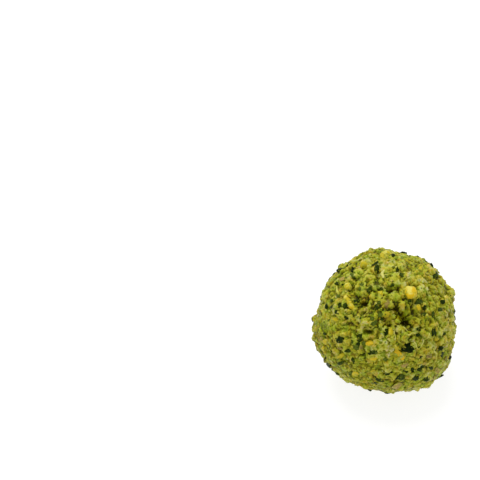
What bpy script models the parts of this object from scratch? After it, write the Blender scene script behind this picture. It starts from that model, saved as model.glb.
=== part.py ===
"""A falafel ball, about 40 mm across, with a torn and crumbly surface.

It is one solid: a ball with lumps, hollows and a small flat spot that it rests on, and fused to it the
crumbs, yellow kernels, leaf flakes and bits of skin that stand proud. Lengths are in metres, +Z is up,
and the origin is on the floor under the middle of the ball's box.
"""

import math
import random

import bmesh
import bpy
from mathutils import Matrix, Vector, noise

MM = 0.001

# Driving dimensions
BALL_RADIUS = 19.9 * MM
REST_SPOT_RADIUS = 7.6 * MM
BALL_SIDEWAYS = 0.54 * MM
BALL_FORWARD = -0.12 * MM
SURFACE_POINTS = 2750

# The shown side is the front as seen from above at this angle, this far from the ball's middle. Its
# places are given in millimetres across to the right and up from the middle, as they look from there.
SHOWN_FROM_ABOVE = math.radians(45)
VIEW_DISTANCE = 592 * MM
TO_RIGHT = Vector((1, 0, 0))
TO_UP = Vector((0, math.sin(SHOWN_FROM_ABOVE), math.cos(SHOWN_FROM_ABOVE)))
TO_VIEWER = Vector((0, -math.cos(SHOWN_FROM_ABOVE), math.sin(SHOWN_FROM_ABOVE)))

# Broad swellings and dents that shape the outline: across, up, height, spread, all in millimetres
SWELLINGS = (
    (-2.0, 19.8, 1.4, 2.8),
    (10.4, 17.2, 0.7, 2.6),
    (-19.6, -6.2, 0.9, 3.2),
    (15.5, -12.8, 1.4, 5.0),
    (9.6, -17.4, 0.8, 2.6),
    (18.1, 8.0, 0.8, 2.2),
    (19.9, 1.7, -0.9, 3.4),
    (4.6, 19.5, -1.3, 1.5),
    (-4.8, -19.3, -1.3, 3.2),
    (-18.9, 6.2, -1.3, 2.8),
    (1.0, 7.0, 0.5, 5.0),
    (15.2, 12.8, 0.5, 1.8),
    (-6.8, 18.7, -0.5, 3.0),
    (-19.9, 0.4, -0.5, 2.0),
    (6.8, -18.7, -0.4, 1.8),
    (19.0, -6.2, -0.6, 1.8),
)

# Torn hollows: across, up, length, width, turn in degrees, depth
HOLLOWS = (
    (5.1, 1.4, 6.5, 2.6, -58, 1.5),
    (1.5, 9.1, 2.6, 2.2, 0, 0.8),
    (-7.1, 5.8, 5.0, 3.6, 20, 0.9),
    (-5.6, -2.9, 3.6, 1.8, 0, 0.9),
    (-10.1, 8.6, 3.2, 2.4, -30, 0.9),
    (1.8, 0.3, 2.8, 2.0, 60, 0.7),
    (-2.1, 14.4, 2.8, 2.2, 80, 0.9),
    (7.1, 15.8, 2.6, 2.4, 0, 0.9),
)
HOLLOW_SOFTNESS = 0.42

# Pressed stretches, where the crumbs lie flatter: across, up, spread
PRESSED = (
    (-17.5, 1.0, 5.5),
    (-12.0, -14.0, 5.0),
    (0.0, -19.5, 6.0),
    (14.0, -13.0, 5.0),
)
PRESSED_RELIEF = 0.4

# On the unseen side smooth noise says where it is pressed, and round the resting spot it all is
PATCH_NOISE = 2.6
PATCH_SHIFT = Vector((3.1, 0.4, 7.7))
PATCH_EDGE = (0.05, 0.45)
UNSEEN_EDGE = (0.1, -0.5)
REST_SPOT_EDGE = (-0.76, -0.90)

# Relief: packed lumps that stand at different heights with crevices between them. For each size of
# lump: its size, how far the heights differ, how much its middle bulges and how deep its crevices go
LUMPS = (
    (5.2 * MM, 1.3 * MM, 0.50 * MM, 0.70 * MM),
    (3.1 * MM, 1.2 * MM, 0.40 * MM, 0.45 * MM),
)
CREVICE_WIDTH = 0.34
STEP_NOISE = 2.3

# Fused bits of the shown side: across, up, length, width, turn in degrees
KERNELS = (
    (6.5, 8.3, 3.8, 3.1, 70),
    (-10.4, 5.4, 5.0, 1.5, -56),
    (-10.4, 10.0, 2.3, 1.9, 0),
    (-0.1, 18.9, 3.6, 2.3, 0),
    (11.8, 15.0, 2.5, 1.6, -35),
    (9.3, 12.7, 2.0, 1.7, 0),
    (17.0, 6.9, 2.4, 1.6, 60),
    (3.9, -8.9, 2.9, 1.9, -50),
    (7.1, -10.0, 2.3, 1.5, 0),
    (9.5, -11.3, 2.0, 1.3, 10),
    (1.5, -2.8, 2.6, 1.9, 60),
    (-12.6, -9.4, 1.8, 1.6, 0),
    (-3.5, -10.2, 2.4, 1.6, -20),
    (-8.4, -14.4, 1.8, 1.5, 80),
    (-7.3, 17.6, 2.4, 1.9, 30),
)
LEAVES = (
    (6.2, -7.2, 3.4, 2.3, -10),
    (-7.1, -4.4, 2.4, 1.9, 80),
    (-12.6, -5.0, 2.1, 1.6, 60),
    (4.3, -15.2, 2.4, 1.6, 20),
    (13.4, -3.0, 2.4, 1.2, 90),
    (-15.6, -11.9, 2.0, 1.6, 40),
    (9.0, 5.5, 2.0, 1.5, 0),
    (-4.3, 9.1, 2.0, 1.6, 60),
    (13.7, 12.7, 2.0, 1.4, 90),
    (-3.7, -8.4, 2.4, 1.2, 0),
    (17.9, -10.2, 1.8, 1.4, 90),
)
CRUMBS = (
    (-5.9, -0.3, 3.1, 2.6, 20),
    (0.4, 15.6, 3.6, 2.8, 40),
    (2.9, 12.7, 3.2, 2.2, 60),
    (4.3, 18.0, 3.2, 2.8, 70),
    (10.1, 9.7, 2.4, 1.8, 80),
    (12.6, 13.8, 2.6, 2.0, -30),
    (-4.6, 17.2, 3.0, 2.4, 10),
    (-12.4, 14.8, 2.8, 2.4, 50),
    (9.8, 11.4, 3.0, 2.6, 0),
    (18.2, 8.2, 2.6, 2.0, 60),
    (-9.0, -9.0, 2.6, 2.2, 0),
    (-1.2, 6.0, 2.8, 2.2, 45),
    (8.6, -2.0, 2.6, 2.0, 60),
    (15.2, 2.5, 2.8, 2.2, 80),
    (-14.5, 3.5, 2.6, 2.0, 80),
    (0.8, -13.2, 2.8, 2.0, 0),
    (12.4, -16.0, 2.2, 1.6, -40),
)
SKINS = (
    (3.5, -17.7, 4.6, 2.2, -8),
    (-17.9, -5.0, 2.4, 1.6, 90),
    (12.0, -9.4, 2.6, 1.8, 20),
)

# Each kind of fused bit: how thick it is for its width, and the share of that which stands proud
KERNEL_BUILD = (0.66, 0.54)
LEAF_BUILD = (0.34, 0.75)
CRUMB_BUILD = (0.64, 0.54)
SKIN_BUILD = (0.45, 0.60)
LUMP_UNEVENNESS = (0.84, 1.16)
LEAF_CORNERS = 6
LEAF_REACH = (0.72, 1.15)
LEAF_WAVE = 0.35
LEAF_TILT = math.radians(20)

# Bits spread over the rest of the ball: how many of each kind, and their shortest and longest length
SPREAD_KERNELS = (14, 2.0 * MM, 3.4 * MM)
SPREAD_LEAVES = (12, 2.0 * MM, 3.2 * MM)
SPREAD_CRUMBS = (34, 2.8 * MM, 4.4 * MM)
SPREAD_SKINS = (4, 2.6 * MM, 3.6 * MM)
SPREAD_WIDTH = (0.62, 0.90)
SPREAD_SPACING = 3.0 * MM
SPREAD_TRIES = 1400
LOWEST_SPREAD = -0.80
SEED = 5

COLOUR = (0.245, 0.245, 0.030, 1.0)
ROUGHNESS = 0.62
SMOOTH_ANGLE = math.radians(38)
WELD_DISTANCE = 0.004 * MM


def smoothstep(low, high, value):
    """Goes smoothly from 0 at low to 1 at high."""
    t = min(1.0, max(0.0, (value - low) / (high - low)))
    return t * t * (3 - 2 * t)


def shown_direction(across, up):
    """Direction from the ball's middle to a place on the shown side, or on its outline."""
    aside = (TO_RIGHT * across + TO_UP * up) * MM
    reach = VIEW_DISTANCE**2 + aside.length_squared
    clear = max(0.0, VIEW_DISTANCE**4 - reach * (VIEW_DISTANCE**2 - BALL_RADIUS**2))
    share = (VIEW_DISTANCE**2 - math.sqrt(clear)) / reach
    return (aside * share + TO_VIEWER * (VIEW_DISTANCE * (1 - share))).normalized()


def bell(distance, spread):
    """1 in the middle, falling smoothly to 0 over a few spreads."""
    return math.exp(-0.5 * (distance / spread) ** 2)


def swelling_height(direction):
    """Height that the broad swellings and dents add."""
    height = 0.0
    for across, up, rise, spread in SWELLINGS:
        distance = direction.angle(shown_direction(across, up)) * BALL_RADIUS
        height += rise * MM * bell(distance, spread * MM)
    return height


def shown_axis(turn):
    """The axis that is turned by so many degrees from the shown side's right."""
    return TO_RIGHT * math.cos(math.radians(turn)) + TO_UP * math.sin(math.radians(turn))


def along_and_beside(direction, across, up, turn):
    """Place of a direction in a hollow's own axes: along its length and beside it, in metres."""
    middle = shown_direction(across, up)
    length_axis = shown_axis(turn)
    length_axis = (length_axis - middle * length_axis.dot(middle)).normalized()
    offset = (direction - middle) * BALL_RADIUS
    return offset.dot(length_axis), offset.dot(middle.cross(length_axis))


def hollow_depth(direction):
    """Depth of the torn hollows at a direction."""
    depth = 0.0
    for across, up, length, width, turn, deep in HOLLOWS:
        if direction.dot(shown_direction(across, up)) < 0:
            continue
        along, beside = along_and_beside(direction, across, up, turn)
        reach = math.hypot(along / (length * MM), beside / (width * MM))
        depth += deep * MM * bell(reach, HOLLOW_SOFTNESS)
    return depth


def roughness_share(direction):
    """1 where the surface is torn, less where it has been pressed smooth."""
    pressed = 0.0
    for across, up, spread in PRESSED:
        distance = direction.angle(shown_direction(across, up)) * BALL_RADIUS
        pressed = max(pressed, bell(distance, spread * MM))
    unseen = smoothstep(*UNSEEN_EDGE, direction.dot(TO_VIEWER))
    patch = smoothstep(*PATCH_EDGE, noise.noise(direction * PATCH_NOISE + PATCH_SHIFT))
    under = smoothstep(*REST_SPOT_EDGE, direction.z)
    pressed = max(pressed, unseen * patch, under)
    return 1 - (1 - PRESSED_RELIEF) * pressed


def lump_height(direction):
    """Relief of packed lumps with crevices between them."""
    height = 0.0
    for size, step, bulge, crevice in LUMPS:
        distances, seeds = noise.voronoi(direction * (BALL_RADIUS / size))
        inside = smoothstep(0.0, CREVICE_WIDTH, distances[1] - distances[0])
        top = step * noise.noise(seeds[0] * STEP_NOISE) + bulge * (0.5 - distances[0])
        height += (crevice + top) * inside - crevice
    return height * roughness_share(direction)


def surface_radius(direction):
    """Distance from the ball's middle to its surface, without the fused bits."""
    form = BALL_RADIUS + swelling_height(direction) - hollow_depth(direction)
    return form + lump_height(direction)


def even_directions(count):
    """Directions spread evenly over a sphere."""
    turn = math.pi * (3 - math.sqrt(5))
    directions = []
    for i in range(count):
        height = 1 - 2 * (i + 0.5) / count
        out = math.sqrt(1 - height * height)
        directions.append(Vector((out * math.cos(turn * i), out * math.sin(turn * i), height)))
    return directions


def mesh_object(name, shape):
    """Makes an object of a bmesh, split into triangles with its faces turned out."""
    bmesh.ops.triangulate(shape, faces=shape.faces)
    bmesh.ops.recalc_face_normals(shape, faces=shape.faces)
    mesh = bpy.data.meshes.new(name)
    shape.to_mesh(mesh)
    shape.free()
    made = bpy.data.objects.new(name, mesh)
    bpy.context.scene.collection.objects.link(made)
    return made


def make_ball():
    """The ball with its swellings, hollows and lumps."""
    shape = bmesh.new()
    for direction in even_directions(SURFACE_POINTS):
        shape.verts.new(direction)
    bmesh.ops.convex_hull(shape, input=shape.verts)
    for vertex in shape.verts:
        direction = vertex.co.normalized()
        vertex.co = direction * surface_radius(direction)
    return mesh_object("falafel_ball", shape)


def bit_frame(direction, length_axis, proud):
    """Matrix that lays a bit on the surface, its length along an axis and its top facing out."""
    along = (length_axis - direction * length_axis.dot(direction)).normalized()
    beside = direction.cross(along)
    place = direction * (surface_radius(direction) + proud)
    turned = Matrix((along, beside, direction)).transposed().to_4x4()
    return Matrix.Translation(place) @ turned


def add_lump(direction, length_axis, length, width, build, draw):
    """An uneven lump of 20 triangles, such as a crumb or a kernel."""
    thickness = width * build[0]
    shape = bmesh.new()
    bmesh.ops.create_icosphere(shape, subdivisions=1, radius=1.0)
    for vertex in shape.verts:
        vertex.co *= draw.uniform(*LUMP_UNEVENNESS)
    half = Matrix.Diagonal((length / 2, width / 2, thickness / 2, 1))
    proud = thickness * (build[1] - 0.5)
    frame = bit_frame(direction, length_axis, proud)
    bmesh.ops.transform(shape, matrix=frame @ half, verts=shape.verts)
    return mesh_object("bit", shape)


def add_leaf(direction, length_axis, length, width, build, draw):
    """A thin wavy flake, both of its faces split into the same fan of triangles."""
    thickness = width * build[0]
    shape = bmesh.new()
    corners = []
    for i in range(LEAF_CORNERS):
        angle = 2 * math.pi * i / LEAF_CORNERS
        reach = draw.uniform(*LEAF_REACH)
        wave = thickness * draw.uniform(-LEAF_WAVE, LEAF_WAVE)
        along = reach * math.cos(angle) * length / 2
        corners.append(Vector((along, reach * math.sin(angle) * width / 2, wave)))
    faces = []
    for side in (0.5, -0.5):
        lift = Vector((0, 0, side * thickness))
        middle = shape.verts.new(lift)
        rim = [shape.verts.new(corner + lift) for corner in corners]
        faces.append((middle, rim))
    (top, top_rim), (bottom, bottom_rim) = faces
    for i in range(LEAF_CORNERS):
        after = (i + 1) % LEAF_CORNERS
        shape.faces.new((top, top_rim[i], top_rim[after]))
        shape.faces.new((bottom, bottom_rim[after], bottom_rim[i]))
        shape.faces.new((top_rim[i], bottom_rim[i], bottom_rim[after], top_rim[after]))
    tilt = Matrix.Rotation(draw.uniform(-LEAF_TILT, LEAF_TILT), 4, "X")
    frame = bit_frame(direction, length_axis, thickness * (build[1] - 0.5))
    bmesh.ops.transform(shape, matrix=frame @ tilt, verts=shape.verts)
    return mesh_object("bit", shape)


def shown_bits(places, build, make, draw):
    """The bits of one kind whose places on the shown side are named."""
    made = []
    for across, up, length, width, turn in places:
        direction = shown_direction(across, up)
        made.append(make(direction, shown_axis(turn), length * MM, width * MM, build, draw))
    return made


def free_directions(draw):
    """Evenly spread directions that are clear of the named bits and of the resting spot."""
    taken = [
        shown_direction(place[0], place[1])
        for place in (*KERNELS, *LEAVES, *CRUMBS, *SKINS)
    ]
    closest = math.cos(SPREAD_SPACING / BALL_RADIUS)
    tries = even_directions(SPREAD_TRIES)
    draw.shuffle(tries)
    free = []
    for direction in tries:
        if direction.z < LOWEST_SPREAD:
            continue
        if all(direction.dot(other) < closest for other in taken):
            free.append(direction)
            taken.append(direction)
    return free


def spread_bits(spread, free, build, make, draw):
    """Bits of one kind at places taken from the free ones."""
    count, shortest, longest = spread
    made = []
    for _ in range(min(count, len(free))):
        direction = free.pop()
        length_axis = Vector([draw.gauss(0, 1) for _ in range(3)])
        length = draw.uniform(shortest, longest)
        width = length * draw.uniform(*SPREAD_WIDTH)
        made.append(make(direction, length_axis, length, width, build, draw))
    return made


def make_bits():
    """Every fused bit, the named ones first."""
    draw = random.Random(SEED)
    kinds = (
        (KERNELS, SPREAD_KERNELS, KERNEL_BUILD, add_lump),
        (LEAVES, SPREAD_LEAVES, LEAF_BUILD, add_leaf),
        (CRUMBS, SPREAD_CRUMBS, CRUMB_BUILD, add_lump),
        (SKINS, SPREAD_SKINS, SKIN_BUILD, add_lump),
    )
    free = free_directions(draw)
    bits = []
    for places, spread, build, make in kinds:
        bits += shown_bits(places, build, make, draw)
        bits += spread_bits(spread, free, build, make, draw)
    return bits


def fuse(ball, bits):
    """Unites the bits with the ball and removes their own objects."""
    group = bpy.data.collections.new("bits")
    for bit in bits:
        bpy.context.scene.collection.objects.unlink(bit)
        group.objects.link(bit)
    bpy.context.scene.collection.children.link(group)
    union = ball.modifiers.new("union", "BOOLEAN")
    union.operation = "UNION"
    union.operand_type = "COLLECTION"
    union.collection = group
    union.solver = "EXACT"
    evaluated = ball.evaluated_get(bpy.context.evaluated_depsgraph_get())
    fused = bpy.data.meshes.new_from_object(evaluated)
    ball.modifiers.remove(union)
    ball.data = fused
    for bit in bits:
        bpy.data.objects.remove(bit)
    bpy.data.collections.remove(group)


def keep_largest_body(shape):
    """Drops what isn't joined to the largest body: sealed hollows and loose scraps."""
    left = set(shape.faces)
    bodies = []
    while left:
        body = []
        edge = [left.pop()]
        while edge:
            face = edge.pop()
            body.append(face)
            for side in face.edges:
                for other in side.link_faces if len(side.link_faces) == 2 else ():
                    if other in left:
                        left.remove(other)
                        edge.append(other)
        bodies.append(body)
    bodies.sort(key=len)
    for body in bodies[:-1]:
        bmesh.ops.delete(shape, geom=body, context="FACES")


def finish_solid(ball):
    """Cuts the flat resting spot, stands the ball on the floor and cleans its mesh."""
    shape = bmesh.new()
    shape.from_mesh(ball.data)
    keep_largest_body(shape)
    middle_height = math.sqrt(BALL_RADIUS**2 - REST_SPOT_RADIUS**2)
    bmesh.ops.bisect_plane(
        shape,
        geom=[*shape.verts, *shape.edges, *shape.faces],
        dist=WELD_DISTANCE / 10,
        plane_co=(0, 0, -middle_height),
        plane_no=(0, 0, -1),
        clear_outer=True,
    )
    bmesh.ops.holes_fill(shape, edges=[edge for edge in shape.edges if edge.is_boundary])
    bmesh.ops.triangulate(shape, faces=shape.faces)
    bmesh.ops.remove_doubles(shape, verts=shape.verts, dist=WELD_DISTANCE)
    bmesh.ops.dissolve_degenerate(shape, edges=shape.edges, dist=WELD_DISTANCE)
    bmesh.ops.triangulate(shape, faces=shape.faces)
    stand = Matrix.Translation((BALL_SIDEWAYS, BALL_FORWARD, middle_height))
    bmesh.ops.transform(shape, matrix=stand, verts=shape.verts)
    keep_largest_body(shape)
    bmesh.ops.recalc_face_normals(shape, faces=shape.faces)
    shape.to_mesh(ball.data)
    shape.free()
    ball.data.shade_smooth()
    ball.data.set_sharp_from_angle(angle=SMOOTH_ANGLE)


def colour_ball(ball):
    """One plain material: the green and yellow of the crumbs together."""
    material = bpy.data.materials.new("falafel_crumb")
    material.use_nodes = True
    shader = material.node_tree.nodes["Principled BSDF"]
    shader.inputs["Base Color"].default_value = COLOUR
    shader.inputs["Roughness"].default_value = ROUGHNESS
    shader.inputs["Metallic"].default_value = 0.0
    ball.data.materials.clear()
    ball.data.materials.append(material)


def main():
    for old in list(bpy.data.objects):
        bpy.data.objects.remove(old)
    ball = make_ball()
    fuse(ball, make_bits())
    finish_solid(ball)
    colour_ball(ball)


main()
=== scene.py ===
"""A falafel ball with a torn, crumbly surface, dressed piece by piece around its solid.

Lengths are in metres unless a comment says otherwise, +Z is up and the shown side faces -Y and up.
"""

import math
from typing import NamedTuple

import bmesh
import bpy
import numpy as np
from mathutils import Matrix, Vector, noise
from mathutils.bvhtree import BVHTree


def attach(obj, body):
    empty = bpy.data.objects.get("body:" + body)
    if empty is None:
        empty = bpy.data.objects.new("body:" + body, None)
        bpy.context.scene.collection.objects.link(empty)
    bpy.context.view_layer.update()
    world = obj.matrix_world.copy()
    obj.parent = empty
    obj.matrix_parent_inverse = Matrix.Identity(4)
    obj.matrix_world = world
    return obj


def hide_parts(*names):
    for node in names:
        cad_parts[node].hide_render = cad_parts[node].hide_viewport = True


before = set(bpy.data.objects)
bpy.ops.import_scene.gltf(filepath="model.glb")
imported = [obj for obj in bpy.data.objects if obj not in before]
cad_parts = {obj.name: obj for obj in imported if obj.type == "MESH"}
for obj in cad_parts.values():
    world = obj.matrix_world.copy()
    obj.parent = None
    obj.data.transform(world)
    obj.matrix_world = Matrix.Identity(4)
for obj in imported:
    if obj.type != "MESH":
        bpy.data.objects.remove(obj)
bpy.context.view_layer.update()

MM = 0.001
NODE = "falafel_ball"
FIRST_SEED = 31

# The ball's form, as its solid has it
BALL_RADIUS = 19.9 * MM
REST_SPOT_RADIUS = 7.6 * MM
BALL_SIDEWAYS = 0.54 * MM
BALL_FORWARD = -0.12 * MM
MIDDLE_HEIGHT = math.sqrt(BALL_RADIUS**2 - REST_SPOT_RADIUS**2)
BALL_MIDDLE = np.array((BALL_SIDEWAYS, BALL_FORWARD, MIDDLE_HEIGHT))

# The shown side's places are given in millimetres across and up from the ball's middle, as they look
# from this angle and distance
SHOWN_FROM_ABOVE = math.radians(45)
VIEW_DISTANCE = 592 * MM
TO_RIGHT = np.array((1.0, 0.0, 0.0))
TO_UP = np.array((0.0, math.sin(SHOWN_FROM_ABOVE), math.cos(SHOWN_FROM_ABOVE)))
TO_VIEWER = np.array((0.0, -math.cos(SHOWN_FROM_ABOVE), math.sin(SHOWN_FROM_ABOVE)))

# Broad swellings and dents: across, up, height, spread, all in millimetres
SWELLINGS = (
    (-2.0, 19.8, 1.4, 2.8),
    (10.4, 17.2, 0.7, 2.6),
    (-19.6, -6.2, 0.9, 3.2),
    (15.5, -12.8, 1.4, 5.0),
    (9.6, -17.4, 0.8, 2.6),
    (18.1, 8.0, 0.8, 2.2),
    (19.9, 1.7, -0.9, 3.4),
    (4.6, 19.5, -1.3, 1.5),
    (-4.8, -19.3, -1.3, 3.2),
    (-18.9, 6.2, -1.3, 2.8),
    (1.0, 7.0, 0.5, 5.0),
    (15.2, 12.8, 0.5, 1.8),
    (-6.8, 18.7, -0.5, 3.0),
    (-19.9, 0.4, -0.5, 2.0),
    (6.8, -18.7, -0.4, 1.8),
    (19.0, -6.2, -0.6, 1.8),
)

# Torn hollows: across, up, length, width, turn in degrees, depth
HOLLOWS = (
    (5.1, 1.4, 6.5, 2.6, -58, 1.5),
    (1.5, 9.1, 2.6, 2.2, 0, 0.8),
    (-7.1, 5.8, 5.0, 3.6, 20, 0.9),
    (-5.6, -2.9, 3.6, 1.8, 0, 0.9),
    (-10.1, 8.6, 3.2, 2.4, -30, 0.9),
    (1.8, 0.3, 2.8, 2.0, 60, 0.7),
    (-2.1, 14.4, 2.8, 2.2, 80, 0.9),
    (7.1, 15.8, 2.6, 2.4, 0, 0.9),
)
HOLLOW_SOFTNESS = 0.42

# Small deep pits between the crumbs, too narrow for the solid, given like the hollows
PITS = (
    (1.6, 9.0, 1.3, 1.0, 0, 1.0),
    (3.7, 9.0, 1.7, 0.9, 85, 1.1),
    (3.5, 3.7, 2.0, 1.2, -50, 1.2),
    (4.6, 2.3, 2.0, 1.1, -60, 1.2),
    (8.0, 3.1, 1.7, 1.0, 80, 1.0),
    (6.3, -0.3, 2.6, 2.2, 0, 1.6),
    (7.2, 15.7, 1.8, 1.0, -70, 1.1),
    (-5.1, -2.8, 2.2, 1.1, -15, 1.1),
    (-2.1, 13.6, 1.8, 1.1, 85, 1.0),
    (-8.2, 7.4, 2.0, 1.2, -20, 1.0),
    (-6.4, 5.2, 2.6, 1.6, 20, 0.9),
    (17.8, 1.7, 0.9, 0.8, 0, 0.7),
    (1.2, -1.0, 2.0, 0.9, -60, 0.9),
    (-10.8, -1.1, 1.9, 1.6, 0, 0.7),
)

# Pressed stretches, where the crumbs lie flatter: across, up, spread
PRESSED = (
    (-17.5, 1.0, 5.5),
    (-12.0, -14.0, 5.0),
    (0.0, -19.5, 6.0),
    (14.0, -13.0, 5.0),
)
PRESSED_RELIEF = 0.4
REST_SPOT_EDGE = (0.76, 0.90)

# Torn stretches, where the crumbs stand out with deep gaps between them: across, up, spread
TORN = (
    (-2.5, 12.0, 4.5),
    (3.5, 6.0, 4.5),
    (-6.5, 4.0, 4.0),
    (5.5, -1.0, 3.5),
)

# On the unseen side smooth noise says where it is pressed or torn: how fine the noise is, its shift, and
# between which values of it and of the turn away from the viewer the patches begin and are complete
PRESSED_PATCHES = (2.6, (3.1, 0.4, 7.7), (0.05, 0.45), (-0.1, 0.5))
TORN_PATCHES = (3.4, (6.0, 4.0, 1.0), (0.15, 0.45), (-0.3, 0.1))

# Packed lumps: size, step between heights, bulge and crevice depth
LUMPS = (
    (5.2 * MM, 1.0 * MM, 0.35 * MM, 0.50 * MM),
    (3.1 * MM, 0.8 * MM, 0.25 * MM, 0.30 * MM),
)
CREVICE_WIDTH = 0.34
STEP_NOISE = 2.3

# Stretches that are lighter or darker than the rest, partly the paste's own patches and partly painted
# light and shade, such as the lighter right flank and the darker bottom rim: across, up, spread, how much
# lighter
TONE_PATCHES_AND_PAINTED_LIGHT = (
    (0.5, 16.0, 4.0, 0.08),
    (8.0, 11.0, 3.0, 0.14),
    (-14.0, 0.7, 3.0, 0.10),
    (17.5, -3.0, 3.0, 0.38),
    (0.0, 12.0, 4.0, 0.08),
    (-1.5, -6.0, 2.5, 0.22),
    (0.0, -11.0, 3.5, 0.20),
    (10.5, -6.5, 3.0, 0.20),
    (1.5, 2.0, 3.0, -0.12),
    (6.3, -0.6, 2.2, -0.12),
    (-7.2, 5.5, 2.4, -0.14),
    (-7.7, -5.5, 2.0, -0.14),
    (12.5, 2.0, 2.6, -0.06),
    (4.0, -14.6, 1.8, -0.22),
    (-14.5, 12.0, 2.4, -0.14),
    (-15.5, -12.0, 3.0, -0.16),
    (14.5, 9.5, 3.0, -0.04),
    (-17.5, -1.0, 3.5, -0.10),
    (18.5, 1.0, 3.0, 0.32),
    (2.0, -18.5, 3.0, -0.20),
    (-1.0, 19.5, 2.5, -0.14),
)
UNSEEN_SHADE = 0.22
SHADE_NOISE = 2.8
SHADE_SHIFT = (8.0, 2.0, 5.0)
SHADE_EDGE = (-0.1, 0.4)

# Bits of the shown side: across, up, length, width in millimetres, turn in degrees. A kernel's last
# number is how golden it is.
KERNELS = (
    (7.1, 8.7, 3.8, 4.2, 70, 0.9),
    (-10.4, 5.4, 5.0, 1.5, -56, 0.7),
    (-10.4, 10.0, 2.3, 1.9, 0, 0.5),
    (-0.1, 18.9, 3.6, 2.3, 0, 0.4),
    (11.8, 15.0, 2.5, 1.6, -35, 0.7),
    (9.3, 12.7, 2.0, 1.7, 0, 0.3),
    (17.0, 6.9, 2.4, 1.6, 60, 0.6),
    (3.9, -8.9, 2.9, 1.9, -50, 1.0),
    (7.1, -10.0, 2.3, 1.5, 0, 0.3),
    (9.5, -11.3, 2.0, 1.3, 10, 0.2),
    (1.5, -2.8, 2.6, 1.9, 60, 0.6),
    (-12.6, -9.4, 1.8, 1.6, 0, 0.5),
    (-3.5, -10.2, 2.4, 1.6, -20, 0.8),
    (-8.4, -14.4, 1.8, 1.5, 80, 0.7),
    (-7.3, 17.6, 2.4, 1.9, 30, 0.2),
    # Too small for the solid
    (-5.9, 15.8, 2.4, 1.8, 20, 0.3),
    (-1.4, 8.0, 1.8, 1.2, 0, 0.6),
    (-13.6, 0.7, 2.6, 1.4, 10, 0.2),
    (-16.1, 1.6, 1.9, 1.0, 90, 0.3),
    (9.4, 4.0, 2.2, 1.7, 80, 0.7),
    (9.9, 14.9, 1.6, 0.8, 0, 0.5),
    (-16.8, -5.4, 1.6, 1.3, 90, 0.6),
    (-17.3, -7.6, 1.9, 1.4, -60, 0.6),
    (-10.8, -5.5, 2.5, 2.0, 80, 0.1),
    (-11.7, -3.6, 2.3, 1.2, 10, 0.1),
    (-4.4, -6.0, 2.6, 1.4, 15, 0.9),
    (-3.8, -13.5, 1.5, 1.1, 0, 0.4),
    (1.6, -12.5, 1.0, 0.8, 0, 0.2),
    (14.2, -4.5, 1.6, 1.2, 70, 0.2),
    (17.1, -4.6, 1.6, 1.1, 90, 0.3),
    (0.3, 11.8, 1.9, 1.5, -60, 0.2),
    (0.6, 17.7, 1.0, 0.8, 0, 0.3),
    (2.8, -7.0, 2.0, 1.5, -50, 0.3),
)
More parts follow.
